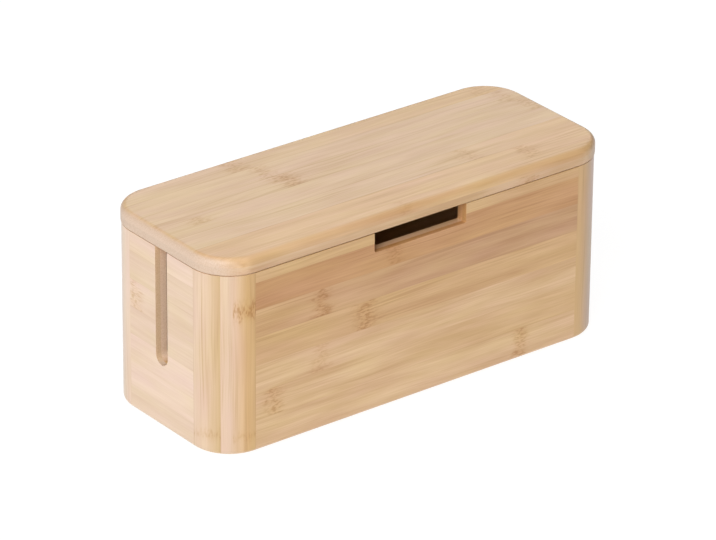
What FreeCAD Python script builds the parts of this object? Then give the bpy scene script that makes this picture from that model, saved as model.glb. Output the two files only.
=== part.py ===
import FreeCAD, Part
import math
import os
from types import SimpleNamespace

import Sketcher

# Bamboo cable management box with a lift-off lid, in millimetres.
# X runs along the box, the front faces -Y and +Z is up. The origin is the middle of the underside.
# Walls and lid are glued up from two plies of bamboo strips, and the base from one ply.

SIZES = {
    # Walls and posts
    "box_length": "329",
    "box_width": "128.5",
    "wall_height": "130.5",
    "wall_thickness": "9",
    "outer_ply_thickness": "4",
    "corner_radius": "29",
    "base_edge_round": "3.5",
    "end_stave_angle": "42",
    # Lid, resting on the rim with a hair's breadth of air
    "lid_thickness": "12",
    "lid_upper_ply_thickness": "6",
    "lid_overhang": "0.5",
    "lid_top_round": "4.5",
    "lid_lower_round": "1.4",
    "lid_seat_gap": "0.2",
    # Battens under the lid, which drop inside the rim
    "batten_width": "20",
    "batten_height": "6",
    "batten_clearance": "1",
    # Bamboo strips with a width of their own. The others share what is left of their board
    "wall_top_strip": "7.5",
    "wall_foot_strip": "23",
    "end_top_strip": "14",
    "slot_foot_strip": "20",
    "inner_top_strip": "23",
    "lid_front_strip": "10.25",
    # Cable notch in the front panel and cable slots in the ends
    "notch_width": "77",
    "notch_depth": "14",
    "notch_corner_round": "1.5",
    "slot_width": "13",
    "slot_foot_height": "46",
    # Base board, under the walls' inner ply
    "base_thickness": "6",
    # Tongues of the inner ply in the grooves of the posts
    "tongue_thickness": "3",
    "tongue_length": "5",
    "tongue_tip_gap": "0.3",
    "glue_gap": "0.1",
    # Non-slip pads
    "pad_diameter": "12",
    "pad_thickness": "1.2",
    # How far a cutting shape runs past what it cuts
    "overrun": "5",
}

# How many strips share the rest of each board
LONG_WALL_COUNT = 5
END_UPPER_COUNT = 3
END_LOWER_COUNT = 2
INNER_PLY_COUNT = 5
LID_COUNT = 6
BASE_COUNT = 6

# A rounded edge takes at most this share of the wood that it is cut from
ROUND_LIMIT_SHARE = 0.9
LID_TOP_LIMIT_SHARE = 0.6
LID_LOWER_LIMIT_SHARE = 0.3

# Numbers of the axes along the box, across it and up
ALONG = 0
ACROSS = 1
UPWARDS = 2

QUARTER_TURN = 90
TOLERANCE = 1e-6


class Size:
    """A size from the sheet, or a sum of such sizes: its expression and its present value."""

    def __init__(self, text, value):
        self.text = text
        self.value = value

    def __add__(self, other):
        return Size(f"({self.text} + {other.text})", self.value + other.value)

    def __sub__(self, other):
        return Size(f"({self.text} - {other.text})", self.value - other.value)

    def __mul__(self, number):
        return Size(f"({self.text} * {number})", self.value * number)

    def __truediv__(self, number):
        return Size(f"({self.text} / {number})", self.value / number)

    def __neg__(self):
        return Size(f"(-1 * {self.text})", -self.value)

    def at_most(self, other):
        return Size(f"min({self.text}; {other.text})", min(self.value, other.value))


def make_sheet(document):
    """Write the driving dimensions into a spreadsheet, one alias for each."""
    sheet = document.addObject("Spreadsheet::Sheet", "Sizes")
    for row, (alias, number) in enumerate(SIZES.items(), start=1):
        sheet.set(f"A{row}", alias)
        sheet.set(f"B{row}", number)
        sheet.setAlias(f"B{row}", alias)
    document.recompute()
    return SimpleNamespace(**{alias: Size(f"Sizes.{alias}", sheet.get(alias)) for alias in SIZES})


doc = FreeCAD.newDocument("cable_box")
dim = make_sheet(doc)
nodes = []

# Places that several pieces share
half_length = dim.box_length / 2
half_width = dim.box_width / 2
straight_x = half_length - dim.corner_radius
straight_y = half_width - dim.corner_radius
foot = dim.pad_thickness
rim = foot + dim.wall_height
base_top = foot + dim.base_thickness
lid_underside = rim + dim.lid_seat_gap
lid_top = lid_underside + dim.lid_thickness
lid_half_length = half_length + dim.lid_overhang
lid_half_width = half_width + dim.lid_overhang


def bind(item, name, size):
    """Tie one property of an object to the sheet."""
    item.setExpression(name, size.text)


def keep(item, label):
    """Make an object one of the box's pieces."""
    item.Label = label
    nodes.append(item)
    return item


def origin_feature(body, role):
    return next(part for part in body.Origin.OriginFeatures if part.Role == role)


def new_sketch(body, name, plane, height=None):
    """Empty sketch on one of the body's own origin planes, raised by height."""
    sketch = body.newObject("Sketcher::SketchObject", name)
    sketch.AttachmentSupport = [(origin_feature(body, plane), "")]
    sketch.MapMode = "FlatFace"
    if height is not None:
        bind(sketch, "AttachmentOffset.Base.z", height)
    return sketch


def hold(sketch, kind, edge, end, size):
    """Fix the distance from the sketch's origin to one end of an edge."""
    number = sketch.addConstraint(Sketcher.Constraint(kind, -1, 1, edge, end, size.value))
    bind(sketch, f"Constraints[{number}]", size)


def outline(body, name, plane, corners, height=None):
    """Closed outline with straight sides through corners given as pairs of sizes."""
    sketch = new_sketch(body, name, plane, height)
    points = [FreeCAD.Vector(across.value, up.value, 0) for across, up in corners]
    ends = points[1:] + points[:1]
    for start, end in zip(points, ends):
        sketch.addGeometry(Part.LineSegment(start, end), False)
    for number, (across, up) in enumerate(corners):
        following = (number + 1) % len(corners)
        sketch.addConstraint(Sketcher.Constraint("Coincident", number, 2, following, 1))
        hold(sketch, "DistanceX", number, 1, across)
        hold(sketch, "DistanceY", number, 1, up)
    return sketch


def rectangle(low_across, high_across, low_up, high_up):
    """Corners of a rectangle, counter-clockwise."""
    return [
        (low_across, low_up),
        (high_across, low_up),
        (high_across, high_up),
        (low_across, high_up),
    ]


def pad(body, sketch, length, symmetric=False):
    """Thicken a sketch, to both sides of its plane if symmetric."""
    feature = body.newObject("PartDesign::Pad", sketch.Name + "_pad")
    feature.Profile = sketch
    feature.SideType = "Symmetric" if symmetric else "One side"
    bind(feature, "Length", length)
    doc.recompute()
    return feature


def pocket(body, sketch, symmetric=False):
    """Cut a sketch right through, both ways if symmetric and otherwise along its plane's normal."""
    before = body.Shape.Volume
    feature = body.newObject("PartDesign::Pocket", sketch.Name + "_pocket")
    feature.Profile = sketch
    feature.Type = "ThroughAll"
    feature.Midplane = symmetric
    feature.Reversed = not symmetric
    doc.recompute()
    if not body.Shape.Volume < before - TOLERANCE:
        raise RuntimeError(f"{feature.Name} removes nothing")
    return feature


def edges_where(shape, holds):
    """Names of the edges whose two ends and middle all pass a test."""
    names = []
    for number, edge in enumerate(shape.Edges, start=1):
        middle = edge.valueAt((edge.FirstParameter + edge.LastParameter) / 2)
        points = [vertex.Point for vertex in edge.Vertexes] + [middle]
        if all(holds(point) for point in points):
            names.append(f"Edge{number}")
    return names


def near(number, size):
    return abs(number - size.value) < TOLERANCE


def round_edges(body, radius, holds):
    """Round the edges of the body's last feature that pass a test."""
    last = body.Tip
    names = edges_where(last.Shape, holds)
    if not names:
        raise RuntimeError(f"{body.Name} has no edge to round")
    feature = body.newObject("PartDesign::Fillet", body.Name + "_round")
    feature.Base = (last, names)
    bind(feature, "Radius", radius)
    doc.recompute()
    return feature


def block(name, low, high):
    """Box between two corners, each given as three sizes."""
    box = doc.addObject("Part::Box", name)
    for axis, edge, start, end in zip("xyz", ("Length", "Width", "Height"), low, high):
        bind(box, edge, end - start)
        bind(box, f"Placement.Base.{axis}", start)
    return box


def part_of(board, cutter, label):
    """The stretch of a board that lies inside a cutting block."""
    piece = doc.addObject("Part::Common", label)
    piece.Base = board
    piece.Tool = cutter
    return piece


def group_of(pieces, label):
    """Pieces that are kept together, each still a solid of its own."""
    group = doc.addObject("Part::Compound", label)
    group.Links = pieces
    return group


def in_order(first, second):
    """Two places along an axis, the lower one first."""
    return sorted([first, second], key=lambda size: size.value)


def equal_strips(start, stop, count):
    """Edges of equal strips side by side between two places, both included."""
    return [start + (stop - start) * number / count for number in range(count + 1)]


def strips(board, label, axis, edges, ply_axis, ply):
    """Cut one ply of a glued board at the given places along an axis, in the order of its strips."""
    reach = [lid_half_length + dim.overrun, lid_half_width + dim.overrun, lid_top + dim.overrun]
    pieces = []
    for number, pair in enumerate(zip(edges, edges[1:]), start=1):
        low = [-size for size in reach]
        high = list(reach)
        low[axis], high[axis] = in_order(*pair)
        low[ply_axis], high[ply_axis] = in_order(*ply)
        cutter = block(f"{label}_cutter_{number}", low, high)
        pieces.append(part_of(board, cutter, f"{label}_strip_{number}"))
    return pieces


def keep_all(pieces):
    for piece in pieces:
        keep(piece, piece.Name)


def long_wall_joints():
    """Strip edges of the front and back panel, from the rim down."""
    middle = equal_strips(rim - dim.wall_top_strip, foot + dim.wall_foot_strip, LONG_WALL_COUNT)
    return [rim] + middle + [foot]


def end_wall_joints():
    """Strip edges of an end panel, from the rim down, with one strip centred on the slot's foot."""
    slot_foot = foot + dim.slot_foot_height
    upper = slot_foot + dim.slot_foot_strip / 2
    lower = slot_foot - dim.slot_foot_strip / 2
    beside = equal_strips(rim - dim.end_top_strip, upper, END_UPPER_COUNT)
    below = equal_strips(lower, foot, END_LOWER_COUNT)
    return [rim] + beside + below


def inner_ply_joints():
    """Strip edges of the inner ply of all four walls, from the rim down to the base board."""
    return [rim] + equal_strips(rim - dim.inner_top_strip, base_top, INNER_PLY_COUNT)


def wall_section(side, outer):
    """Corners of the walls' section, with the rebate for the base board at its foot."""
    inner = outer - dim.wall_thickness
    rebate = outer - dim.outer_ply_thickness
    corners = [
        (rebate, foot),
        (outer, foot),
        (outer, rim),
        (inner, rim),
        (inner, base_top),
        (rebate, base_top),
    ]
    return [(across * side, up) for across, up in corners]


def base_edge_radius():
    """Rounding of the walls' outer bottom edge, within the wood that the rebate leaves."""
    return dim.base_edge_round.at_most(dim.outer_ply_thickness * ROUND_LIMIT_SHARE)


def tongue_band(outer):
    """Inner and outer side of a tongue, which is cut from the inner ply, next to the outer one."""
    ply_line = outer - dim.outer_ply_thickness
    return ply_line - dim.tongue_thickness, ply_line


def wall_board(name, plane, side, outer, half_span):
    """Straight wall: its section padded along its run, with a tongue along each end."""
    body = doc.addObject("PartDesign::Body", name)
    doc.recompute()
    section = outline(body, name + "_section", plane, wall_section(side, outer))
    pad(body, section, half_span * 2, symmetric=True)
    across = (lambda point: point.y) if plane == "YZ_Plane" else (lambda point: point.x)
    outer_face = outer * side
    round_edges(
        body,
        base_edge_radius(),
        lambda point: near(point.z, foot) and near(across(point), outer_face),
    )
    inner_side, outer_side = tongue_band(outer)
    corners = rectangle(inner_side * side, outer_side * side, base_top, rim)
    tongue = outline(body, name + "_tongue", plane, corners)
    pad(body, tongue, (half_span + dim.tongue_length) * 2, symmetric=True)
    return body


def front_board():
    """Front wall with the cable notch in its top edge."""
    board = wall_board("front_board", "YZ_Plane", -1, half_width, straight_x)
    half_notch = dim.notch_width / 2
    notch_floor = rim - dim.notch_depth
    corners = rectangle(-half_notch, half_notch, notch_floor, rim + dim.overrun)
    pocket(board, outline(board, "notch", "XZ_Plane", corners), symmetric=True)
    radius = dim.notch_corner_round.at_most(dim.notch_depth * ROUND_LIMIT_SHARE)
    round_edges(
        board,
        radius,
        lambda point: near(point.z, notch_floor) and near(abs(point.x), half_notch),
    )
    return board


def slot_outline(body, name):
    """Upright slot, open at the top, with a half-round foot."""
    sketch = new_sketch(body, name, "YZ_Plane")
    radius = dim.slot_width / 2
    centre = foot + dim.slot_foot_height + radius
    top = rim + dim.overrun
    foot_circle = Part.Circle(FreeCAD.Vector(0, centre.value, 0), FreeCAD.Vector(0, 0, 1), radius.value)
    corners = [
        FreeCAD.Vector(radius.value, centre.value, 0),
        FreeCAD.Vector(radius.value, top.value, 0),
        FreeCAD.Vector(-radius.value, top.value, 0),
        FreeCAD.Vector(-radius.value, centre.value, 0),
    ]
    sketch.addGeometry(Part.ArcOfCircle(foot_circle, math.pi, math.tau), False)
    for first, second in zip(corners, corners[1:]):
        sketch.addGeometry(Part.LineSegment(first, second), False)
    sketch.addConstraint(Sketcher.Constraint("Tangent", 0, 2, 1, 1))
    sketch.addConstraint(Sketcher.Constraint("Coincident", 1, 2, 2, 1))
    sketch.addConstraint(Sketcher.Constraint("Coincident", 2, 2, 3, 1))
    sketch.addConstraint(Sketcher.Constraint("Tangent", 3, 2, 0, 1))
    sketch.addConstraint(Sketcher.Constraint("Vertical", 1))
    sketch.addConstraint(Sketcher.Constraint("Horizontal", 2))
    sketch.addConstraint(Sketcher.Constraint("PointOnObject", 0, 3, -2))
    number = sketch.addConstraint(Sketcher.Constraint("Radius", 0, radius.value))
    bind(sketch, f"Constraints[{number}]", radius)
    hold(sketch, "DistanceY", 0, 3, centre)
    hold(sketch, "DistanceY", 2, 1, top)
    return sketch


def end_board(name, side):
    """End wall with the cable slot down its middle."""
    board = wall_board(name, "XZ_Plane", side, half_length, straight_y)
    pocket(board, slot_outline(board, name + "_slot"), symmetric=True)
    return board


def divide_wall(board, label, side, outer, ply_axis, joints):
    """Cut a wall's outer ply into pieces of their own, and its inner ply into a group of strips."""
    ply_line = outer - dim.outer_ply_thickness
    outer_ply = (ply_line * side, (outer + dim.overrun) * side)
    inner_ply = ((outer - dim.wall_thickness - dim.overrun) * side, ply_line * side)
    keep_all(strips(board, label, UPWARDS, joints, ply_axis, outer_ply))
    inner = label + "_inner"
    pieces = strips(board, inner, UPWARDS, inner_ply_joints(), ply_axis, inner_ply)
    keep(group_of(pieces, inner + "_strips"), inner + "_strips")


def stave(label, joint_turn, side, sweep, centre_x, centre_y):
    """One of the two upright staves of a corner post.

    It starts at the joint with a wall, turned by joint_turn about Z, and sweeps to one side of it.
    """
    body = doc.addObject("PartDesign::Body", label)
    doc.recompute()
    section = outline(body, label + "_section", "XZ_Plane", wall_section(1, dim.corner_radius))
    turned = body.newObject("PartDesign::Revolution", label + "_sweep")
    turned.Profile = section
    turned.ReferenceAxis = (origin_feature(body, "Z_Axis"), [""])
    turned.Reversed = side < 0
    bind(turned, "Angle", sweep)
    doc.recompute()
    round_edges(
        body,
        base_edge_radius(),
        lambda point: near(point.z, foot) and near(math.hypot(point.x, point.y), dim.corner_radius),
    )
    inner_side, outer_side = tongue_band(dim.corner_radius)
    depth = dim.tongue_length + dim.tongue_tip_gap
    corners = rectangle(
        inner_side - dim.glue_gap,
        outer_side + dim.glue_gap,
        dim.overrun * -side,
        depth * side,
    )
    pocket(body, outline(body, label + "_groove", "XY_Plane", corners, height=base_top))
    body.Placement = FreeCAD.Placement(
        FreeCAD.Vector(),
        FreeCAD.Rotation(FreeCAD.Vector(0, 0, 1), joint_turn),
    )
    bind(body, "Placement.Base.x", centre_x)
    bind(body, "Placement.Base.y", centre_y)
    return keep(body, label)


def corner_posts():
    """Four quarter-round posts. Each has a stave towards the end wall and one towards the long wall."""
    end_sweep = dim.end_stave_angle
    long_sweep = Size(f"({QUARTER_TURN} - {end_sweep.text})", QUARTER_TURN - end_sweep.value)
    right, left = straight_x, -straight_x
    back, front = straight_y, -straight_y
    posts = [
        ("back_right", right, back, 0, QUARTER_TURN, 1),
        ("back_left", left, back, 2 * QUARTER_TURN, QUARTER_TURN, -1),
        ("front_left", left, front, 2 * QUARTER_TURN, 3 * QUARTER_TURN, 1),
        ("front_right", right, front, 0, 3 * QUARTER_TURN, -1),
    ]
    for name, centre_x, centre_y, end_turn, long_turn, side in posts:
        stave(f"{name}_post_end_stave", end_turn, side, end_sweep, centre_x, centre_y)
        stave(f"{name}_post_long_stave", long_turn, -side, long_sweep, centre_x, centre_y)


def rounded_board(name, low, high, half_x, half_y, corner):
    """Level board with rounded upright corners."""
    body = doc.addObject("PartDesign::Body", name)
    doc.recompute()
    corners = rectangle(-half_x, half_x, -half_y, half_y)
    pad(body, outline(body, name + "_outline", "XY_Plane", corners, height=low), high - low)
    round_edges(
        body,
        corner,
        lambda point: near(abs(point.x), half_x) and near(abs(point.y), half_y),
    )
    return body


def lid_board():
    """Lid with a soft upper edge and an eased lower one."""
    corner = dim.corner_radius + dim.lid_overhang
    board = rounded_board("lid_board", lid_underside, lid_top, lid_half_length, lid_half_width, corner)
    top_radius = dim.lid_top_round.at_most(dim.lid_thickness * LID_TOP_LIMIT_SHARE)
    lower_radius = dim.lid_lower_round.at_most(dim.lid_thickness * LID_LOWER_LIMIT_SHARE)
    round_edges(board, top_radius, lambda point: near(point.z, lid_top))
    round_edges(board, lower_radius, lambda point: near(point.z, lid_underside))
    return board


def lid_battens():
    """Two battens across the lid's underside, shaped to the inside of the box."""
    margin = dim.wall_thickness + dim.batten_clearance
    outer_x = half_length - margin
    low = lid_underside - dim.batten_height
    board = rounded_board(
        "batten_board",
        low,
        lid_underside,
        outer_x,
        half_width - margin,
        dim.corner_radius - margin,
    )
    for name, side in (("left", -1), ("right", 1)):
        start, stop = in_order((outer_x - dim.batten_width) * side, (outer_x + dim.overrun) * side)
        cutter = block(
            f"{name}_batten_cutter",
            [start, -half_width, low - dim.overrun],
            [stop, half_width, lid_underside + dim.overrun],
        )
        label = f"lid_batten_{name}"
        keep(part_of(board, cutter, label), label)


def base_board():
    """Base board, let in under the inner ply of the walls and into the rebate of the posts."""
    margin = dim.outer_ply_thickness + dim.glue_gap
    return rounded_board(
        "base_board",
        foot,
        base_top,
        half_length - margin,
        half_width - margin,
        dim.corner_radius - margin,
    )


def non_slip_pads():
    """Four like pads under the base board's corners."""
    discs = []
    for pad_y in (-straight_y, straight_y):
        for pad_x in (-straight_x, straight_x):
            disc = doc.addObject("Part::Cylinder", "non_slip_pad")
            bind(disc, "Radius", dim.pad_diameter / 2)
            bind(disc, "Height", dim.pad_thickness)
            bind(disc, "Placement.Base.x", pad_x)
            bind(disc, "Placement.Base.y", pad_y)
            discs.append(disc)
    keep(group_of(discs, "non_slip_pads"), "non_slip_pads")


def walls():
    """Four walls, each divided into its strips."""
    back_board = wall_board("back_board", "YZ_Plane", 1, half_width, straight_x)
    divide_wall(front_board(), "front_panel", -1, half_width, ACROSS, long_wall_joints())
    divide_wall(back_board, "back_panel", 1, half_width, ACROSS, long_wall_joints())
    for name, side in (("left", -1), ("right", 1)):
        board = end_board(name + "_board", side)
        divide_wall(board, name + "_end", side, half_length, ALONG, end_wall_joints())


def base():
    """Base of one ply of strips."""
    edges = equal_strips(-half_width, half_width, BASE_COUNT)
    keep_all(strips(base_board(), "base", ACROSS, edges, UPWARDS, (foot, base_top)))


def lid():
    """Lid of two plies, whose joints lie at mirrored places, with its battens."""
    board = lid_board()
    ply_line = lid_top - dim.lid_upper_ply_thickness
    rest = equal_strips(dim.lid_front_strip - lid_half_width, lid_half_width, LID_COUNT)
    edges = [-lid_half_width] + rest
    mirrored = [-edge for edge in edges]
    keep_all(strips(board, "lid", ACROSS, edges, UPWARDS, (ply_line, lid_top)))
    lower = strips(board, "lid_lower", ACROSS, mirrored, UPWARDS, (lid_underside, ply_line))
    keep(group_of(lower, "lid_lower_strips"), "lid_lower_strips")
    lid_battens()


def build():
    """Make every piece of the box."""
    walls()
    corner_posts()
    base()
    lid()
    non_slip_pads()


def write_parts():
    """Check every object and piece, then write one STEP file for each piece."""
    doc.recompute()
    failed = [item.Label for item in doc.Objects if {"Invalid", "Error"} & set(item.State)]
    if failed:
        raise RuntimeError(f"not rebuilt: {failed}")
    for node in nodes:
        if node.Shape.isNull() or not node.Shape.isValid() or not node.Shape.Solids:
            raise RuntimeError(f"{node.Label} has no valid solid")
    os.makedirs("parts", exist_ok=True)
    for node in nodes:
        node.Shape.exportStep(f"parts/{node.Label}.step")
    print(f"{len(nodes)} pieces written")


build()
write_parts()
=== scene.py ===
import math
import random
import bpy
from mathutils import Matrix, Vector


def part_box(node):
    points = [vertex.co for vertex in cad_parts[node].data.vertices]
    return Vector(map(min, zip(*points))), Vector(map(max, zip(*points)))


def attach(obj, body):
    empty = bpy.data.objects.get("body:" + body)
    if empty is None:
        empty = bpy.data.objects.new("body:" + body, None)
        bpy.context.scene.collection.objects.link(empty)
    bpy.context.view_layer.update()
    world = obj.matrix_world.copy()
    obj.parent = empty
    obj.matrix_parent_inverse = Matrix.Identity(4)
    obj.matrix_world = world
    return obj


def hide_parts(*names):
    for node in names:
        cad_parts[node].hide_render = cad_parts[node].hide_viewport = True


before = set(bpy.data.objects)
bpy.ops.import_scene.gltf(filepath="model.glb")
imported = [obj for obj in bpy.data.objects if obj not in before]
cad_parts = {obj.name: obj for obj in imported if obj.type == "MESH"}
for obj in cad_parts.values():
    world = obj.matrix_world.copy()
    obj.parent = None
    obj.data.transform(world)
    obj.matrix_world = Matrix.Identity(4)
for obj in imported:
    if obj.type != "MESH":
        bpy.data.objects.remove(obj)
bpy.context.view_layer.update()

from types import SimpleNamespace

import bpy
from bpy.props import FloatProperty, FloatVectorProperty, PointerProperty
from mathutils import Matrix, Vector

bl_info = {
    "name": "Bamboo cable box",
    "version": (1, 0, 0),
    "blender": (4, 5, 0),
    "location": "3D View > Sidebar > Cable box",
    "description": "Gives a cable management box its bamboo, its moulded pads and a studio",
    "category": "Object",
}

MM = 0.001
FAR = 10000.0
FAR_AWAY = (FAR, 0.0, 1.0)

# For each board: the axis along its grain, the axis across its strips and the one through it
AXES = {
    "front_panel": "XZY",
    "back_panel": "XZY",
    "left_end": "YZX",
    "right_end": "YZX",
    "base": "XYZ",
    "lid": "XYZ",
    "lid_batten": "YXZ",
}
# How strongly the grain of each board shows, where it differs from the rest
GRAIN = {"front_panel": 1.25, "back_panel": 1.25, "left_end": 0.75, "right_end": 0.75, "lid": 0.9, "post": 0.7}

# Middle of each stave of a corner post, in degrees from the joint with the end wall, and half its sweep
STAVES = {"end": (21, 21), "long": (66, 24)}

# Where each board's grain starts in the noise, and the steps by which it goes on from piece to piece
SEEDS = {
    "front_panel": 1,
    "back_panel": 31,
    "left_end": 61,
    "right_end": 91,
    "post": 121,
    "lid": 201,
    "lid_lower_strips": 215,
    "lid_batten": 231,
    "base": 261,
}
STRIP_STEP = 3.7
STAVE_STEP = 5.3
BATTEN_STEP = 7
INNER_PLY_STEP = 11

# Strips of the hidden plies: how many there are, and how wide the walls' are
INNER_STRIPS = 6
INNER_STRIP_WIDTH = 20.3 * MM
LID_LOWER_STRIPS = 7
# The knuckle that the lid's edge shows: its place along the grain in mm, its strength and its reach in mm
LID_LOWER_KNUCKLE = (91, 0.9, 8)


def look(tone, far=None, streaks=0.3, joint=0.3, knuckles=(), knuckles_from=-FAR, drift=(-120, 60)):
    """How one strip looks: its tones, its dark streaks, its glue line and its knuckles.

    A strip with a far tone drifts to it between two places in mm, along the grain, or round a stave from its middle.
    A knuckle is its place along the grain in mm, its strength and its reach along the grain in mm. Knuckles show only
    where the place across the strip, in mm from its middle, is past knuckles_from.
    """
    return SimpleNamespace(
        tone=tone,
        far=far or tone,
        streaks=streaks,
        joint=joint,
        knuckles=knuckles,
        knuckles_from=knuckles_from,
        drift=drift,
    )


# The strips in view, from the rim down, and on the lid from front to back
STRIPS_IN_VIEW = {
    "front_panel": [
        look("honey"),
        look("caramel", None, 0.7, 0.1, [(-22, 0.6, 6)]),
        look("amber", "toffee", 0.9, 0.1, [(-82, 0.9, 6)]),
        look("honey", "amber", 0.9, 0.1, [(-45, 0.9, 9)]),
        look("wheat", None, 0.3, 0.1, [(-82, 0.4, 6)]),
        look("wheat", "honey", 0.4, 0.1, [(-121, 0.8, 6)], drift=(-60, 200)),
        look("wheat", None, 0.2, 0.1, [(88, 0.9, 5)]),
    ],
    # The left end's blond and rose are paler and greyer than the lid's tones: partly the bamboo's own tone, partly a
    # painted highlight of the left end, which faces the key light
    "left_end": [
        look("blond", None, 0.0),
        look("rose", None, 0.1, 0.5),
        look("rose", "blond", 0.2, 0.5, [(30, 0.7, 6)], drift=(0, 30)),
        look("rose", None, 0.3, 0.5),
        look("blond", None, 0.1, 0.4),
        look("blond", None, 0.1, 0.3),
        look("rose", None, 0.1, 0.3),
    ],
    "lid": [
        look("straw", None, 0.5, 0.3, [(-12, 0.25, 6)]),
        look("straw", None, 0.6, 0.6, [(106, 0.6, 6)]),
        look("cream", "straw", 0.5, 1.0, [(71, 0.4, 6)], drift=(20, 140)),
        look("cream", "sand", 0.4, 0.4, [(-134, 0.7, 7)], 0),
        look("cream", "sand", 0.5, 0.4, [(-49, 0.9, 8), (156, 0.6, 5)]),
        look("cream", "sand", 0.4, 0.6, [(-57, 0.6, 6), (149, 0.5, 5)]),
        look("cream", "honey", 0.6, 0.5, [(-66, 0.6, 6), (142, 0.4, 6)], drift=(-80, 120)),
    ],
}
POST_STAVES_IN_VIEW = {
    "front_left_post_end_stave": look("oat", "tan", 0.7, 0.8, [(14, 0.4, 3)], drift=(0, 11)),
    "front_left_post_long_stave": look("oat", "biscuit", 0.6, 0.6, [(106, 1.0, 6), (14, 0.4, 3)], -4, (-6, 6)),
    # Towards the right end this stave goes over to a greyer far tone: painted shade and painted grey sheen where the
    # post turns away from the light
    "front_right_post_long_stave": look("biscuit", "mauve", 0.6, 0.4, drift=(-6, 6)),
    "back_left_post_end_stave": look("pearl", "blond", 0.5, 0.4, drift=(-5, 5)),
}
# Tones that the strips out of view are drawn from
TONES_OUT_OF_VIEW = {
    "back_panel": ["wheat", "honey", "amber", "straw", "toffee"],
    "right_end": ["rose", "cream", "sand", "straw"],
    "base": ["wheat", "straw", "honey"],
    "lid_batten": ["wheat", "straw"],
    "post": ["cream", "straw", "wheat"],
}
# How far from the middle of such a strip its knuckle may lie, in mm, and the share of them that has none
KNUCKLE_SPREAD = {"back_panel": 120, "right_end": 30, "base": 120, "lid_batten": 40, "post": 60}
BARE_SHARE = 0.3

# Shades that tones are multiplied by: the darkest fibres, a knuckle and the marks in it, two casts of the wood, and
# the fibre bundles of the end grain
FIBRE_SHADE = "#E0D2BD"
KNUCKLE_SHADE = "#F5EAD8"
MARK_SHADE = "#E4D5BA"
ROSY_CAST = "#FFFAFB"
GOLDEN_CAST = "#FFFFF1"
BUNDLE_SHADE = "#F3EDE5"

# Noise of each layer of the grain: its scale per mm along and across the grain, its detail, and the levels that are
# spread to the layer's full range. Fibre bundles are about 0.4 mm wide. They are drawn 1 mm wide, so that they show in
# a picture of the whole box
NOISE = {
    "wobble": (0.06, 0.25, 1.0, 0.25, 0.75),
    "drift": (0.008, 0.03, 1.0, 0.3, 0.7),
    "swirl": (0.14, 0.35, 2.0, 0.25, 0.75),
    "fibres": (0.030, 1.00, 3.0, 0.30, 0.70),
    "bands": (0.009, 0.20, 2.0, 0.32, 0.68),
    "clouds": (0.014, 0.07, 2.0, 0.32, 0.68),
    "patches": (0.012, 0.05, 1.0, 0.42, 0.60),
    "lines": (0.0065, 0.50, 2.0, 0.52, 0.68),
    "warmth": (0.018, 0.08, 1.0, 0.3, 0.7),
    "dashes": (0.28, 0.80, 1.0, 0.46, 0.60),
    "bundles": (1.3, 1.3, 1.0, 0.35, 0.65),
}
# How far the noise moves a knuckle's edges, and fibres near and away from a knuckle, either way in mm
WOBBLE = 5.0
SWIRL = 1.2
DRIFT = 1.5
# How much each layer adds to the dark of the wood
DARK = {"fibres": 0.30, "bands": 0.30, "clouds": 0.30, "streaks": 0.80, "joint": 0.9}
# A joint's hairline: its dark ends and has faded out at these distances from the strip's edge, in mm
JOINT_DARK, JOINT_FADED = 0.15, 0.60
# How squarely a face must cross the grain for its end grain to start to show, and to show in full
CUT_STARTS, CUT_FULL = 0.3, 0.8

# The pads: sides of the disc, segments of its edge's rounding, and the dish's rim, slope and depth
PAD_SIDES = 64
PAD_EDGE_SEGMENTS = 5
DISH_RIM = 1.2 * MM
DISH_SLOPE = 0.4 * MM
DISH_DEPTH = 0.15 * MM
FACING_DOWN = -0.9

# Soft boxes, each a disk: name, azimuth and elevation from the box in degrees, distance and size in metres
LIGHTS = (("key", -60, 35, 4, 3.0), ("top", 0, 90, 5, 4.0), ("back", 135, 30, 6, 4.5))
# The camera's azimuth, elevation and roll in degrees, and its place, as fitted to the photo's outline
CAMERA_TURNS = (-37.939, 26.150, 0.526)
CAMERA_PLACE = (-1.87364, -2.40083, 1.56386)


def linear(code):
    """Linear colour for an sRGB hex code."""
    shares = [int(code[place:place + 2], 16) / 255 for place in (1, 3, 5)]
    return tuple(s / 12.92 if s <= 0.04045 else ((s + 0.055) / 1.055) ** 2.4 for s in shares)


def rgba(code):
    """The same, with full opacity, for a shader's input."""
    return linear(code) + (1.0,)


def node(tree, kind, inputs=None, **settings):
    """Add a node with its settings, and set its inputs or link them to sockets or to nodes' first outputs."""
    made = tree.nodes.new(kind)
    for name, value in settings.items():
        setattr(made, name, value)
    for key, value in (inputs or {}).items():
        if isinstance(value, bpy.types.Node):
            value = value.outputs[0]
        if isinstance(value, bpy.types.NodeSocket):
            tree.links.new(value, made.inputs[key])
        else:
            made.inputs[key].default_value = value
    return made


def colour_property(name, description, code):
    return FloatVectorProperty(
        name=name,
        description=description,
        default=linear(code),
        subtype="COLOR",
        min=0,
        max=1,
    )


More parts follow.
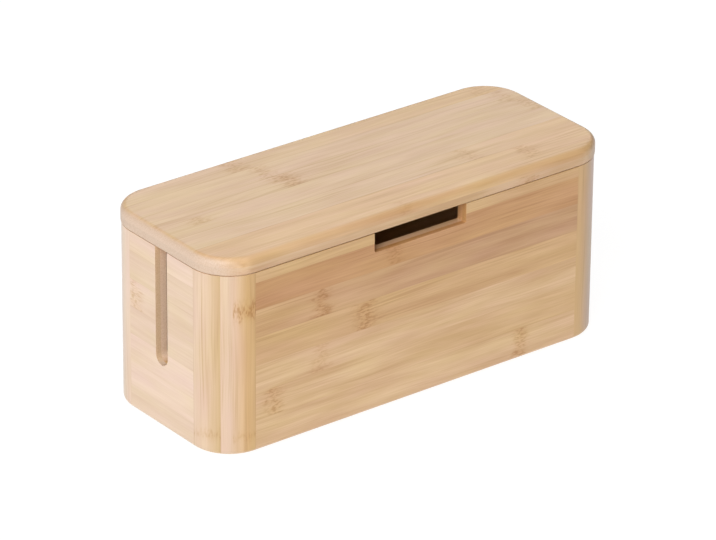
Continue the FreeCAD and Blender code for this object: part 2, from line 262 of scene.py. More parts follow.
class CableBoxBamboo(bpy.types.PropertyGroup):
    """Tones of the bamboo, each its palest shade, and how strongly its grain shows."""

    pearl: colour_property("Pearl", "Palest bamboo, of the back left post", "#E0CEC8")
    # Blond and rose: partly the end walls' own pale tone, partly a painted highlight that makes them paler and greyer
    # where the left end faces the key light
    blond: colour_property("Blond", "Very pale bamboo of the end walls", "#E4CDBC")
    rose: colour_property("Rose", "Pale bamboo with a tinge of pink, of the end walls", "#DFC8B4")
    cream: colour_property("Cream", "Pale bamboo of the lid's middle", "#E6C8A6")
    sand: colour_property("Sand", "Bamboo of the lid's right half", "#E3C4A2")
    straw: colour_property("Straw", "Yellowish bamboo of the lid's front", "#E4C096")
    maize: colour_property("Maize", "Pale yellow bamboo of the lid's lower ply", "#EFCB9B")
    oat: colour_property("Oat", "Greyish bamboo of the posts", "#DBC2AD")
    tan: colour_property("Tan", "Tanned bamboo of the posts", "#C7AB7F")
    biscuit: colour_property("Biscuit", "Browner bamboo of the posts, next to the front", "#D9B483")
    # Painted shade and painted grey sheen of the right post, where it turns away from the light
    mauve: colour_property("Mauve", "Bamboo with a tinge of mauve, of the right post", "#D4B9A7")
    wheat: colour_property("Wheat", "Bamboo of the lower front", "#E7C69F")
    honey: colour_property("Honey", "Golden bamboo of the front's top band", "#E0BC8E")
    amber: colour_property("Amber", "Light brown bamboo of the front's middle", "#DEB88C")
    toffee: colour_property("Toffee", "Brown bamboo of the front's middle", "#CFA57F")
    caramel: colour_property("Caramel", "Deep brown bamboo under the front's top band", "#D3A474")
    inner_pale: colour_property("Inner ply, pale", "Palest strip of the inner plies", "#F2DCC2")
    inner_deep: colour_property("Inner ply, deep", "Deepest strip of the inner plies", "#EBCBA7")
    lid_cut: colour_property("Lid's end grain", "Lid where it is cut across its grain", "#D5BCA7")
    lid_cut_low: colour_property("Lid's end grain, low", "Lid's lower ply where it is cut across its grain", "#CFB7A2")
    wall_cut: colour_property("Walls' end grain", "Walls' outer ply where it is cut across its grain", "#E5C6A2")
    # Darker than the other cut tones: partly the end grain's own tone, partly painted shade of the notch's sides under
    # the lid
    notch_cut_and_shade: colour_property("Notch's end grain", "Front's outer ply at the notch's sides", "#C39461")
    inner_cut: colour_property("Inner end grain", "Inner ply where it is cut across its grain", "#F2D4BA")
    grain: FloatProperty(name="Grain", description="How strongly the fibres show", default=1, min=0, max=3)
    knuckles: FloatProperty(name="Knuckles", description="How strongly the knuckles show", default=1, min=0, max=3)


class CableBoxPads(bpy.types.PropertyGroup):
    """The moulded pads under the base."""

    colour: colour_property("Pads", "Colour of the silicone rubber", "#C9C6BF")
    edge: FloatProperty(
        name="Edge",
        description="Rounding of the pads' lower edge",
        default=0.5 * MM,
        min=0.1 * MM,
        max=1.0 * MM,
        unit="LENGTH",
    )


class CableBoxStudio(bpy.types.PropertyGroup):
    """Floor, light and camera. A strength of 1 lights a white card to plain white."""

    floor: colour_property("Floor", "Colour of the floor", "#6C6C6C")
    glow: FloatProperty(name="Floor glow", description="Light that the floor gives of itself", default=0.9, min=0)
    floor_side: FloatProperty(name="Floor side", description="Side of the floor", default=8, min=1, unit="LENGTH")
    room: FloatProperty(name="Room light", description="Light from all round", default=0.1, min=0)
    key: FloatProperty(name="Key light", description="Light from the left and front", default=0.92, min=0)
    top: FloatProperty(name="Top light", description="Light from above", default=0.3, min=0)
    back: FloatProperty(name="Back light", description="Light from the right and back", default=0.2, min=0)
    lens: FloatProperty(name="Lens", description="Focal length in mm", default=253.58, min=20, unit="CAMERA")


def place_in_strip(tree, axes, middle):
    """Position in mm from a strip's middle: X along the grain, Y across the strip and Z through it."""
    place = node(tree, "ShaderNodeTexCoord").outputs["Object"]
    parts = node(tree, "ShaderNodeSeparateXYZ", {0: place}).outputs
    turned = node(tree, "ShaderNodeCombineXYZ", {n: parts[axis] for n, axis in enumerate(axes)})
    offset = Vector([-middle["XYZ".index(axis)] / MM for axis in axes])
    return node(tree, "ShaderNodeMapping", {"Vector": turned, "Scale": (1 / MM,) * 3, "Location": offset})


def place_on_stave(tree, centre, turn, radius):
    """Position in mm on a corner post: X up the stave, Y round its face from its middle and Z through it."""
    place = node(tree, "ShaderNodeTexCoord").outputs["Object"]
    offset = Matrix.Rotation(-turn, 3, "Z") @ centre * (-1 / MM)
    turned = node(
        tree,
        "ShaderNodeMapping",
        {"Vector": place, "Scale": (1 / MM,) * 3, "Rotation": (0, 0, -turn), "Location": offset},
    )
    parts = node(tree, "ShaderNodeSeparateXYZ", {0: turned}).outputs
    angle = node(tree, "ShaderNodeMath", {0: parts["Y"], 1: parts["X"]}, operation="ARCTAN2")
    arc = node(tree, "ShaderNodeMath", {0: angle, 1: radius / MM}, operation="MULTIPLY")
    level = node(tree, "ShaderNodeCombineXYZ", {"X": parts["X"], "Y": parts["Y"]})
    reach = node(tree, "ShaderNodeVectorMath", {0: level}, operation="LENGTH").outputs["Value"]
    depth = node(tree, "ShaderNodeMath", {0: reach, 1: radius / MM}, operation="SUBTRACT")
    return node(tree, "ShaderNodeCombineXYZ", {"X": parts["Z"], "Y": arc, "Z": depth})


def knuckle_mask(tree, along, knuckle):
    """1 at the middle of a knuckle, falling off along the grain over its reach."""
    parts = node(tree, "ShaderNodeSeparateXYZ", {0: knuckle}).outputs
    gap = node(tree, "ShaderNodeMath", {0: along, 1: parts["X"]}, operation="SUBTRACT")
    share = node(tree, "ShaderNodeMath", {0: gap, 1: parts["Z"]}, operation="DIVIDE")
    square = node(tree, "ShaderNodeMath", {0: share, 1: share}, operation="MULTIPLY")
    fall = node(tree, "ShaderNodeMath", {0: square, 1: -1.0}, operation="MULTIPLY")
    bell = node(tree, "ShaderNodeMath", {0: fall}, operation="EXPONENT")
    return node(tree, "ShaderNodeMath", {0: bell, 1: parts["Y"]}, operation="MULTIPLY")


def grain_noise(tree, place, layer, to_low=0.0, to_high=1.0):
    """A layer's noise, stretched along the grain and spread from to_low to to_high."""
    along, across, detail, low, high = NOISE[layer]
    stretched = node(tree, "ShaderNodeVectorMath", {0: place, 1: (along, across, across)}, operation="MULTIPLY")
    noise = node(tree, "ShaderNodeTexNoise", {"Vector": stretched, "Scale": 1.0, "Detail": detail})
    return node(
        tree,
        "ShaderNodeMapRange",
        {"Value": noise, "From Min": low, "From Max": high, "To Min": to_low, "To Max": to_high},
    )


def shaded(tree, colour, factor, low, high):
    """Multiply a colour by a shade that goes from low to high."""
    shade = node(tree, "ShaderNodeMix", {"Factor": factor, 6: rgba(low), 7: rgba(high)}, data_type="RGBA")
    return node(
        tree,
        "ShaderNodeMix",
        {"Factor": 1.0, 6: colour, 7: shade.outputs[2]},
        data_type="RGBA",
        blend_type="MULTIPLY",
    ).outputs[2]


def bamboo_grain():
    """Node group that draws the grain of one bamboo strip on a position in mm."""
    tree = bpy.data.node_groups.new("Bamboo strip grain", "ShaderNodeTree")
    for name, kind in (
        ("Place", "NodeSocketVector"),
        ("Grain axis", "NodeSocketVector"),
        ("Tone", "NodeSocketColor"),
        ("Cut tone", "NodeSocketColor"),
        ("Seed", "NodeSocketFloat"),
        ("Grain", "NodeSocketFloat"),
        ("Streaks", "NodeSocketFloat"),
        ("Joint", "NodeSocketFloat"),
        ("Knuckle 1", "NodeSocketVector"),
        ("Knuckle 2", "NodeSocketVector"),
        ("Knuckles from", "NodeSocketFloat"),
        ("Half width", "NodeSocketFloat"),
    ):
        tree.interface.new_socket(name, in_out="INPUT", socket_type=kind)
    for name, kind in (("Colour", "NodeSocketColor"), ("Roughness", "NodeSocketFloat"), ("Height", "NodeSocketFloat")):
        tree.interface.new_socket(name, in_out="OUTPUT", socket_type=kind)
    given = tree.nodes.new("NodeGroupInput").outputs
    parts = node(tree, "ShaderNodeSeparateXYZ", {0: given["Place"]}).outputs
    shift = node(tree, "ShaderNodeVectorMath", {0: (171.3, 37.7, 11.9), "Scale": given["Seed"]}, operation="SCALE")
    own = node(tree, "ShaderNodeVectorMath", {0: given["Place"], 1: shift}, operation="ADD")

    # 1 where the strip is cut across its grain. The facing is 1 where the face's normal runs along the grain
    normal = node(tree, "ShaderNodeTexCoord").outputs["Normal"]
    facing = node(tree, "ShaderNodeVectorMath", {0: normal, 1: given["Grain axis"]}, operation="DOT_PRODUCT")
    facing = node(tree, "ShaderNodeMath", {0: facing.outputs["Value"]}, operation="ABSOLUTE")
    cut = node(tree, "ShaderNodeMapRange", {"Value": facing, "From Min": CUT_STARTS, "From Max": CUT_FULL})

    # The knuckles' edges wander by a few mm
    wobble = grain_noise(tree, own, "wobble", -WOBBLE, WOBBLE)
    along = node(tree, "ShaderNodeMath", {0: parts["X"], 1: wobble}, operation="ADD")
    masks = [knuckle_mask(tree, along, given[f"Knuckle {n}"]) for n in (1, 2)]
    knuckle = node(tree, "ShaderNodeMath", {0: masks[0], 1: masks[1]}, operation="ADD", use_clamp=True)
    inside = node(tree, "ShaderNodeMath", {0: parts["Y"], 1: given["Knuckles from"]}, operation="GREATER_THAN")
    knuckle = node(tree, "ShaderNodeMath", {0: knuckle, 1: inside}, operation="MULTIPLY")

    # Fibres run nearly straight, and swirl a little at a knuckle
    drift = grain_noise(tree, own, "drift", -DRIFT, DRIFT)
    swirl = grain_noise(tree, own, "swirl", -SWIRL, SWIRL)
    sway = node(tree, "ShaderNodeMath", {0: swirl, 1: knuckle, 2: drift}, operation="MULTIPLY_ADD")
    bend = node(tree, "ShaderNodeCombineXYZ", {"Y": sway})
    bent = node(tree, "ShaderNodeVectorMath", {0: own, 1: bend}, operation="ADD")

    fibres, bands, clouds, lines = (grain_noise(tree, bent, n) for n in ("fibres", "bands", "clouds", "lines"))
    # Streaks show in patches. A knuckle's marks are short dashes of about 2 mm, and bundles are cut ends of fibres
    patches, warmth, dashes, bundles = (
        grain_noise(tree, own, layer) for layer in ("patches", "warmth", "dashes", "bundles")
    )

    # How dark the wood is: each layer adds its share
    dark = node(tree, "ShaderNodeMath", {0: fibres, 1: DARK["fibres"]}, operation="MULTIPLY")
    dark = node(tree, "ShaderNodeMath", {0: bands, 1: DARK["bands"], 2: dark}, operation="MULTIPLY_ADD")
    dark = node(tree, "ShaderNodeMath", {0: clouds, 1: DARK["clouds"], 2: dark}, operation="MULTIPLY_ADD")
    dark = node(tree, "ShaderNodeMath", {0: dark, 1: given["Grain"]}, operation="MULTIPLY")
    streaks = node(tree, "ShaderNodeMath", {0: lines, 1: patches}, operation="MULTIPLY")
    streaks = node(tree, "ShaderNodeMath", {0: streaks, 1: given["Streaks"]}, operation="MULTIPLY")
    dark = node(tree, "ShaderNodeMath", {0: streaks, 1: DARK["streaks"], 2: dark}, operation="MULTIPLY_ADD")

    # A joint shows as a hairline where two strips meet
    away = node(tree, "ShaderNodeMath", {0: parts["Y"]}, operation="ABSOLUTE")
    margin = node(tree, "ShaderNodeMath", {0: given["Half width"], 1: away}, operation="SUBTRACT")
    joint = node(
        tree,
        "ShaderNodeMapRange",
        {"Value": margin, "From Min": JOINT_DARK, "From Max": JOINT_FADED, "To Min": 1.0, "To Max": 0.0},
    )
    joint = node(tree, "ShaderNodeMath", {0: joint, 1: given["Joint"]}, operation="MULTIPLY")
    joint = node(tree, "ShaderNodeMath", {0: joint, 1: clouds}, operation="MULTIPLY")
    dark = node(tree, "ShaderNodeMath", {0: joint, 1: DARK["joint"], 2: dark}, operation="MULTIPLY_ADD")

    colour = shaded(tree, given["Tone"], dark, "#FFFFFF", FIBRE_SHADE)
    colour = shaded(tree, colour, warmth, ROSY_CAST, GOLDEN_CAST)
    zone = node(tree, "ShaderNodeMath", {0: bands, 1: 0.5, 2: 0.5}, operation="MULTIPLY_ADD")
    zone = node(tree, "ShaderNodeMath", {0: zone, 1: knuckle}, operation="MULTIPLY")
    colour = shaded(tree, colour, zone, "#FFFFFF", KNUCKLE_SHADE)
    marks = node(tree, "ShaderNodeMath", {0: dashes, 1: knuckle}, operation="MULTIPLY")
    colour = shaded(tree, colour, marks, "#FFFFFF", MARK_SHADE)
    ends = shaded(tree, given["Cut tone"], bundles, "#FFFFFF", BUNDLE_SHADE)
    colour = node(tree, "ShaderNodeMix", {"Factor": cut, 6: colour, 7: ends}, data_type="RGBA").outputs[2]

    # Lacquered fibres are fairly smooth, and marks and cut ends are rougher
    rough = node(tree, "ShaderNodeMath", {0: fibres, 1: 0.10, 2: 0.38}, operation="MULTIPLY_ADD")
    rough = node(tree, "ShaderNodeMath", {0: marks, 1: 0.08, 2: rough}, operation="MULTIPLY_ADD")
    rough = node(tree, "ShaderNodeMath", {0: cut, 1: 0.12, 2: rough}, operation="MULTIPLY_ADD")
    height = node(tree, "ShaderNodeMath", {0: marks, 1: -0.5, 2: fibres}, operation="MULTIPLY_ADD")
    node(tree, "NodeGroupOutput", {"Colour": colour, "Roughness": rough, "Height": height})


def lacquered_bamboo(name, tree_setup):
    """Bamboo strip, planed and sanded, under a clear satin lacquer: soft gloss over straight fibres."""
    material = bpy.data.materials.new(f"Lacquered bamboo {name}")
    material.use_nodes = True
    tree = material.node_tree
    tree.nodes.clear()
    grain = node(tree, "ShaderNodeGroup", tree_setup(tree), node_tree=bpy.data.node_groups["Bamboo strip grain"])
    bump = node(tree, "ShaderNodeBump", {"Height": grain.outputs["Height"], "Strength": 0.35, "Distance": 0.04 * MM})
    wood = node(
        tree,
        "ShaderNodeBsdfPrincipled",
        {
            "Base Color": grain.outputs["Colour"],
            "Roughness": grain.outputs["Roughness"],
            "Normal": bump,
            "IOR": 1.5,
            "Coat Weight": 0.25,
            "Coat Roughness": 0.3,
        },
    )
    node(tree, "ShaderNodeOutputMaterial", {"Surface": wood})
    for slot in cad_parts[name].material_slots:
        slot.material = material


def knuckle_input(knuckles, number, strength):
    """Place, strength and reach of one knuckle, or a place far away if there is none."""
    if len(knuckles) <= number:
        return FAR_AWAY
    place, weight, reach = knuckles[number]
    return (place, weight * strength, reach)


def unit(axis):
    return tuple(float(axis == name) for name in "XYZ")


def strip_inputs(strip, seed, bamboo, cut):
    """Inputs of the grain that don't depend on where the strip lies."""
    return {
        "Cut tone": tuple(cut) + (1,),
        "Seed": seed,
        "Streaks": strip.streaks,
        "Joint": strip.joint,
        "Knuckle 1": knuckle_input(strip.knuckles, 0, bamboo.knuckles),
        "Knuckle 2": knuckle_input(strip.knuckles, 1, bamboo.knuckles),
        "Knuckles from": strip.knuckles_from,
    }


def drifting_tone(tree, strip, bamboo, place):
    """The strip's tone, going over to its far tone where the strip says."""
    low, high = strip.drift
    share = node(tree, "ShaderNodeMapRange", {"Value": place, "From Min": low, "From Max": high})
    near, far = (tuple(getattr(bamboo, tone)) + (1,) for tone in (strip.tone, strip.far))
    return node(tree, "ShaderNodeMix", {"Factor": share, 6: near, 7: far}, data_type="RGBA").outputs[2]


def finish_strip(name, board, strip, seed, bamboo, cut):
    """Give one flat strip its own tone, grain and knuckles."""
    axes = AXES[board]
    low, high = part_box(name)
    middle = (low + high) / 2
    across = "XYZ".index(axes[1])
    middle["XYZ".index(axes[0])] = 0

    def setup(tree):
        place = place_in_strip(tree, axes, middle)
        along = node(tree, "ShaderNodeSeparateXYZ", {0: place})
        inputs = strip_inputs(strip, seed, bamboo, cut)
        inputs["Place"] = place
        inputs["Grain axis"] = unit(axes[0])
        inputs["Tone"] = drifting_tone(tree, strip, bamboo, along)
        inputs["Grain"] = bamboo.grain * GRAIN.get(board, 1.0)
        inputs["Half width"] = (high[across] - low[across]) / 2 / MM
        return inputs

    lacquered_bamboo(name, setup)


def finish_stave(name, strip, seed, bamboo):
    """Give one stave of a corner post its own tone, grain and knuckles, round its face."""
    corner, kind = name.split("_post_")
    side_x = 1 if "right" in corner else -1
    side_y = 1 if "back" in corner else -1
    end_low, end_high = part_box(f"{corner}_post_end_stave")
    long_low, long_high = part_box(f"{corner}_post_long_stave")
    centre = Vector((long_low.x if side_x > 0 else long_high.x, end_low.y if side_y > 0 else end_high.y, 0))
    radius = end_high.x - centre.x if side_x > 0 else centre.x - end_low.x
    middle, half = (math.radians(a) for a in STAVES[kind.split("_")[0]])
    turn = math.atan2(side_y * math.sin(middle), side_x * math.cos(middle))
    half_width = radius * half / MM

    def setup(tree):
        place = place_on_stave(tree, centre, turn, radius)
        parts = node(tree, "ShaderNodeSeparateXYZ", {0: place}).outputs
        inputs = strip_inputs(strip, seed, bamboo, bamboo.wall_cut)
        inputs["Place"] = place
        inputs["Grain axis"] = unit("Z")
        inputs["Tone"] = drifting_tone(tree, strip, bamboo, parts["Y"])
        inputs["Grain"] = bamboo.grain * GRAIN["post"]
        inputs["Half width"] = half_width
        return inputs

    lacquered_bamboo(name, setup)


def drawn_look(draw, board):
    """How a strip of a board out of view looks, drawn by chance from what is usual."""
    tones, spread = TONES_OUT_OF_VIEW[board], KNUCKLE_SPREAD[board]
    knuckles = [(draw.uniform(-spread, spread), draw.uniform(0.6, 1.0), draw.uniform(5, 9))]
    if draw.random() < BARE_SHARE:
        knuckles = []
    return look(draw.choice(tones), draw.choice(tones), draw.uniform(0.2, 0.8), draw.uniform(0.1, 0.4), knuckles)


def finish_board(board, bamboo, cut):
    """Give every strip of a board its look."""
    draw = random.Random(SEEDS[board])
    names = [f"{board}_strip_{n}" for n in range(1, 8) if f"{board}_strip_{n}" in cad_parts]
    looks = STRIPS_IN_VIEW.get(board) or [drawn_look(draw, board) for _ in names]
    for number, (name, strip) in enumerate(zip(names, looks)):
        finish_strip(name, board, strip, SEEDS[board] + STRIP_STEP * number, bamboo, cut)


def finish_ply(name, axes, tones, cut, start, pitch, count, bamboo, seed, knuckle=FAR_AWAY):
    """Give a hidden ply its finish: strips of one width, the pitch, from a start, each with a tone of its own."""
    across = "XYZ".index(axes[1])

    def setup(tree):
        origin = Vector((0, 0, 0))
        origin[across] = start
        place = place_in_strip(tree, axes, origin)
        parts = node(tree, "ShaderNodeSeparateXYZ", {0: place}).outputs
        share = node(tree, "ShaderNodeMath", {0: parts["Y"], 1: pitch / MM}, operation="DIVIDE")
        number = node(tree, "ShaderNodeMath", {0: share}, operation="FLOOR")
        number = node(tree, "ShaderNodeMath", {0: number, 1: count - 1}, operation="MINIMUM")
        edge = node(tree, "ShaderNodeMath", {0: number, 1: -pitch / MM, 2: parts["Y"]}, operation="MULTIPLY_ADD")
        local = node(tree, "ShaderNodeMath", {0: edge, 1: pitch / MM / 2}, operation="SUBTRACT")
        seeded = node(tree, "ShaderNodeMath", {0: number, 1: seed}, operation="ADD")
        chance = node(tree, "ShaderNodeTexWhiteNoise", {"W": seeded}, noise_dimensions="1D").outputs["Value"]
        pale, deep = (tuple(tone) + (1,) for tone in tones)
        tone = node(tree, "ShaderNodeMix", {"Factor": chance, 6: pale, 7: deep}, data_type="RGBA")
        return {
            "Place": node(tree, "ShaderNodeCombineXYZ", {"X": parts["X"], "Y": local, "Z": parts["Z"]}),
            "Grain axis": unit(axes[0]),
            "Tone": tone.outputs[2],
            "Cut tone": tuple(cut) + (1,),
            "Seed": seeded,
            "Grain": bamboo.grain,
            "Streaks": 0.4,
            "Joint": 0.4,
            "Knuckle 1": knuckle,
            "Knuckle 2": FAR_AWAY,
            "Knuckles from": -FAR,
            "Half width": pitch / MM / 2,
        }

    lacquered_bamboo(name, setup)


def finish_wall(board, bamboo, cuts, inner_tones):
    """Finish both plies of a wall: cuts are the end grain's tones, of the outer ply and the inner one."""
    finish_board(board, bamboo, cuts[0])
    inner = f"{board}_inner_strips"
    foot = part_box(inner)[0].z
    seed = SEEDS[board] + INNER_PLY_STEP
    finish_ply(inner, AXES[board], inner_tones, cuts[1], foot, INNER_STRIP_WIDTH, INNER_STRIPS, bamboo, seed)


class CABLEBOX_OT_finish_long_walls(bpy.types.Operator):
    """Finish the front and back panel, outer and inner ply"""

    bl_idname = "cablebox.finish_long_walls"
    bl_label = "Finish long walls"

    def execute(self, context):
        bamboo = context.scene.cable_box_bamboo
        pale = (bamboo.inner_pale, bamboo.inner_deep)
        # The front's outer cut tone shows at the notch's sides: end grain with painted shade of the notch under the
        # lid
        finish_wall("front_panel", bamboo, (bamboo.notch_cut_and_shade, bamboo.caramel), pale)
        plain = (bamboo.wheat, bamboo.amber)
        finish_wall("back_panel", bamboo, (bamboo.wall_cut, bamboo.inner_cut), plain)
        return {"FINISHED"}


class CABLEBOX_OT_finish_end_walls(bpy.types.Operator):
    """Finish the two end walls, outer and inner ply"""

    bl_idname = "cablebox.finish_end_walls"
    bl_label = "Finish end walls"

    def execute(self, context):
        bamboo = context.scene.cable_box_bamboo
        cuts = (bamboo.wall_cut, bamboo.inner_cut)
        plain = (bamboo.wheat, bamboo.amber)
        finish_wall("left_end", bamboo, cuts, plain)
        finish_wall("right_end", bamboo, cuts, plain)
        return {"FINISHED"}


class CABLEBOX_OT_finish_posts(bpy.types.Operator):
    """Finish the eight staves of the corner posts"""

    bl_idname = "cablebox.finish_posts"
    bl_label = "Finish corner posts"

    def execute(self, context):
        bamboo = context.scene.cable_box_bamboo
        draw = random.Random(5)
        for number, name in enumerate(sorted(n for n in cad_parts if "_post_" in n)):
            strip = POST_STAVES_IN_VIEW.get(name, drawn_look(draw, "post"))
            finish_stave(name, strip, SEEDS["post"] + STAVE_STEP * number, bamboo)
        return {"FINISHED"}


class CABLEBOX_OT_finish_lid(bpy.types.Operator):
    """Finish the lid's two plies and its battens"""

    bl_idname = "cablebox.finish_lid"
    bl_label = "Finish lid"

    def execute(self, context):
        bamboo = context.scene.cable_box_bamboo
        finish_board("lid", bamboo, bamboo.lid_cut)
        low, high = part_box("lid_strip_2")
        finish_ply(
            "lid_lower_strips",
            AXES["lid"],
            (bamboo.maize, bamboo.sand),
            bamboo.lid_cut_low,
            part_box("lid_lower_strips")[0].y,
            high.y - low.y,
            LID_LOWER_STRIPS,
            bamboo,
            SEEDS["lid_lower_strips"],
            LID_LOWER_KNUCKLE,
        )
        draw = random.Random(7)
        for number, side in enumerate(("left", "right")):
            seed = SEEDS["lid_batten"] + BATTEN_STEP * number
            batten = drawn_look(draw, "lid_batten")
            finish_strip(f"lid_batten_{side}", "lid_batten", batten, seed, bamboo, bamboo.lid_cut)
        return {"FINISHED"}


class CABLEBOX_OT_finish_base(bpy.types.Operator):
    """Finish the base board"""

    bl_idname = "cablebox.finish_base"
    bl_label = "Finish base"

    def execute(self, context):
        bamboo = context.scene.cable_box_bamboo
        finish_board("base", bamboo, bamboo.wall_cut)
        return {"FINISHED"}


def silicone_rubber(colour):
    """Moulded silicone rubber, slightly milky, with the fine matt skin of a spark-eroded mould."""
    material = bpy.data.materials.new("Moulded silicone rubber")
    material.use_nodes = True
    tree = material.node_tree
    tree.nodes.clear()
    place = node(tree, "ShaderNodeTexCoord").outputs["Object"]
    # The mould's grit of about 0.1 mm is drawn at 0.3 mm, so that it shows
    grit = node(tree, "ShaderNodeTexNoise", {"Vector": place, "Scale": 1 / (0.3 * MM), "Detail": 2.0})
    dust = node(tree, "ShaderNodeTexNoise", {"Vector": place, "Scale": 1 / (3 * MM), "Detail": 2.0})
    dusty, clean = tuple(c * 0.9 for c in colour) + (1,), tuple(colour) + (1,)
    tone = node(tree, "ShaderNodeMix", {"Factor": dust, 6: dusty, 7: clean}, data_type="RGBA")
    rough = node(
        tree,
        "ShaderNodeMapRange",
        {"Value": grit, "From Min": 0.3, "From Max": 0.7, "To Min": 0.55, "To Max": 0.75},
    )
    bump = node(tree, "ShaderNodeBump", {"Height": grit, "Strength": 0.3, "Distance": 0.05 * MM})
    rubber = node(
        tree,
        "ShaderNodeBsdfPrincipled",
        {
            "Base Color": tone.outputs[2],
            "Roughness": rough,
            "Normal": bump,
            "IOR": 1.41,
            "Subsurface Weight": 0.1,
            "Subsurface Scale": 1.0 * MM,
        },
    )
    node(tree, "ShaderNodeOutputMaterial", {"Surface": rubber})
    return material


def select_faces(mesh_object, holds):
    """Select the faces of the object in edit mode that pass a test, and no others."""
    bpy.ops.mesh.select_all(action="DESELECT")
    bpy.ops.object.mode_set(mode="OBJECT")
    for face in mesh_object.data.polygons:
        face.select = holds(face)
    bpy.ops.object.mode_set(mode="EDIT")


class CABLEBOX_OT_make_pads(bpy.types.Operator):
    """Mould the four non-slip pads, with a rounded lower edge and a shallow dish"""

    bl_idname = "cablebox.make_pads"
    bl_label = "Make pads"

    def execute(self, context):
        pads = context.scene.cable_box_pads
        low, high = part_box("non_slip_pads")
        middle_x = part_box("front_left_post_long_stave")[1].x
        middle_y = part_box("front_left_post_end_stave")[1].y
        radius = high.x + middle_x
        thickness = high.z - low.z
        bpy.ops.object.select_all(action="DESELECT")
        bpy.ops.mesh.primitive_cylinder_add(
            vertices=PAD_SIDES,
            radius=radius,
            depth=thickness,
            location=(0, 0, low.z + thickness / 2),
        )
        first = context.object
        bpy.ops.object.mode_set(mode="EDIT")
        bpy.ops.mesh.select_mode(type="FACE")
        select_faces(first, lambda face: face.normal.z < FACING_DOWN)
        bpy.ops.mesh.bevel(offset=pads.edge, segments=PAD_EDGE_SEGMENTS, affect="EDGES")
        select_faces(first, lambda face: face.normal.z < FACING_DOWN and len(face.vertices) == PAD_SIDES)
        bpy.ops.mesh.inset(thickness=DISH_RIM)
        bpy.ops.mesh.inset(thickness=DISH_SLOPE, depth=-DISH_DEPTH)
        bpy.ops.object.mode_set(mode="OBJECT")
        bpy.ops.object.transform_apply()
        bpy.ops.object.shade_smooth_by_angle(angle=math.radians(35))
        first.data.materials.append(silicone_rubber(pads.colour))
        names = ("front_left", "front_right", "back_left", "back_right")
        places = [(x, y) for y in (middle_y, -middle_y) for x in (middle_x, -middle_x)]
        pieces = [first] + [first.copy() for _ in places[1:]]
        meshes = [first.data] + [first.data.copy() for _ in places[1:]]
        for piece, mesh, name, (x, y) in zip(pieces, meshes, names, places):
            piece.data = mesh
            piece.name = f"moulded_pad_{name}"
            mesh.transform(Matrix.Translation((x, y, 0)))
            if piece is not first:
                context.scene.collection.objects.link(piece)
            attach(piece, "box")
            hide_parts("non_slip_pads")
        return {"FINISHED"}


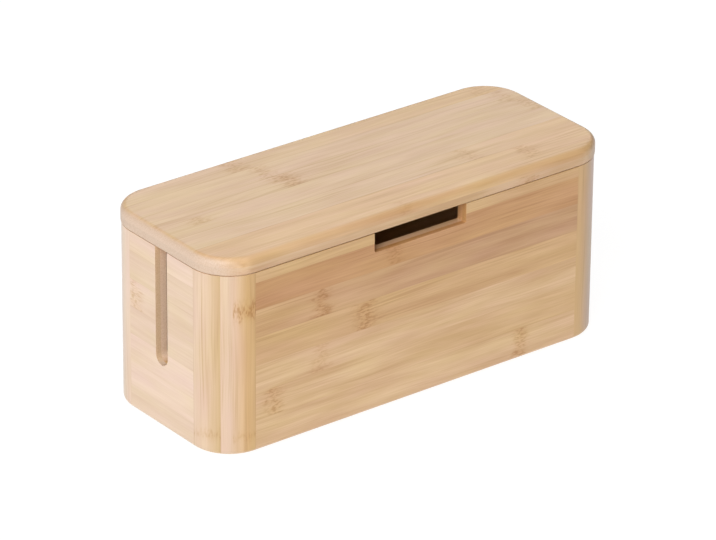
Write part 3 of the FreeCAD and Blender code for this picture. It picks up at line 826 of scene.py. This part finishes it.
class CABLEBOX_OT_make_studio(bpy.types.Operator):
    """Make the floor, the lights and the camera"""

    bl_idname = "cablebox.make_studio"
    bl_label = "Make studio"

    def execute(self, context):
        studio = context.scene.cable_box_studio
        scene = context.scene
        bpy.ops.object.select_all(action="DESELECT")
        bpy.ops.mesh.primitive_plane_add(size=studio.floor_side, location=(0, 0, 0))
        floor = context.object
        floor.name = "floor"
        # Opal acrylic light table, lit from below: the floor is plain white and no shadow lies on it
        material = bpy.data.materials.new("Opal acrylic light table")
        material.use_nodes = True
        tree = material.node_tree
        tree.nodes.clear()
        card = node(
            tree,
            "ShaderNodeBsdfPrincipled",
            {
                "Base Color": tuple(studio.floor) + (1,),
                "Roughness": 0.9,
                "Emission Color": (1, 1, 1, 1),
                "Emission Strength": studio.glow,
            },
        )
        node(tree, "ShaderNodeOutputMaterial", {"Surface": card})
        floor.data.materials.append(material)

        world = bpy.data.worlds.new("Studio room")
        scene.world = world
        world.use_nodes = True
        world.node_tree.nodes["Background"].inputs["Color"].default_value = (1, 1, 1, 1)
        world.node_tree.nodes["Background"].inputs["Strength"].default_value = studio.room

        for name, azimuth, elevation, distance, size in LIGHTS:
            light = bpy.data.lights.new(name, "AREA")
            light.shape = "DISK"
            light.size = size
            light.energy = getattr(studio, name) * (math.pi * distance) ** 2
            lamp = bpy.data.objects.new(name, light)
            turn, rise = math.radians(azimuth), math.radians(elevation)
            lamp.location = distance * Vector(
                (math.sin(turn) * math.cos(rise), -math.cos(turn) * math.cos(rise), math.sin(rise))
            )
            lamp.rotation_euler = (-lamp.location).to_track_quat("-Z", "Y").to_euler()
            scene.collection.objects.link(lamp)

        camera = bpy.data.cameras.new("camera")
        camera.lens = studio.lens
        camera.sensor_width = 36
        camera.clip_end = 20
        eye = bpy.data.objects.new("camera", camera)
        scene.collection.objects.link(eye)
        scene.camera = eye
        azimuth, elevation, roll = (math.radians(a) for a in CAMERA_TURNS)
        back = Vector(
            (
                math.sin(azimuth) * math.cos(elevation),
                -math.cos(azimuth) * math.cos(elevation),
                math.sin(elevation),
            )
        )
        level = Vector((math.cos(azimuth), math.sin(azimuth), 0))
        up = back.cross(level)
        right = level * math.cos(roll) + up * math.sin(roll)
        above = up * math.cos(roll) - level * math.sin(roll)
        turned = Matrix((right, above, back)).transposed().to_4x4()
        eye.matrix_world = Matrix.Translation(CAMERA_PLACE) @ turned
        scene.view_settings.view_transform = "Standard"
        return {"FINISHED"}


class CABLEBOX_PT_panel(bpy.types.Panel):
    """Lists the steps that finish the box"""

    bl_idname = "CABLEBOX_PT_panel"
    bl_label = "Cable box"
    bl_space_type = "VIEW_3D"
    bl_region_type = "UI"
    bl_category = "Cable box"

    def draw(self, context):
        for operator in OPERATORS:
            self.layout.operator(operator.bl_idname)
        for group in (
            context.scene.cable_box_bamboo,
            context.scene.cable_box_pads,
            context.scene.cable_box_studio,
        ):
            box = self.layout.box()
            for name in group.bl_rna.properties.keys():
                if name not in ("rna_type", "name"):
                    box.prop(group, name)


OPERATORS = (
    CABLEBOX_OT_finish_long_walls,
    CABLEBOX_OT_finish_end_walls,
    CABLEBOX_OT_finish_posts,
    CABLEBOX_OT_finish_lid,
    CABLEBOX_OT_finish_base,
    CABLEBOX_OT_make_pads,
    CABLEBOX_OT_make_studio,
)
GROUPS = (
    ("cable_box_bamboo", CableBoxBamboo),
    ("cable_box_pads", CableBoxPads),
    ("cable_box_studio", CableBoxStudio),
)


def register():
    for name, group in GROUPS:
        bpy.utils.register_class(group)
        setattr(bpy.types.Scene, name, PointerProperty(type=group))
    for operator in OPERATORS:
        bpy.utils.register_class(operator)
    bpy.utils.register_class(CABLEBOX_PT_panel)


def unregister():
    bpy.utils.unregister_class(CABLEBOX_PT_panel)
    for operator in reversed(OPERATORS):
        bpy.utils.unregister_class(operator)
    for name, group in reversed(GROUPS):
        delattr(bpy.types.Scene, name)
        bpy.utils.unregister_class(group)


def main():
    register()
    bamboo_grain()
    bpy.ops.cablebox.finish_long_walls()
    bpy.ops.cablebox.finish_end_walls()
    bpy.ops.cablebox.finish_posts()
    bpy.ops.cablebox.finish_lid()
    bpy.ops.cablebox.finish_base()
    bpy.ops.cablebox.make_pads()
    bpy.ops.cablebox.make_studio()


if __name__ == "__main__":
    main()
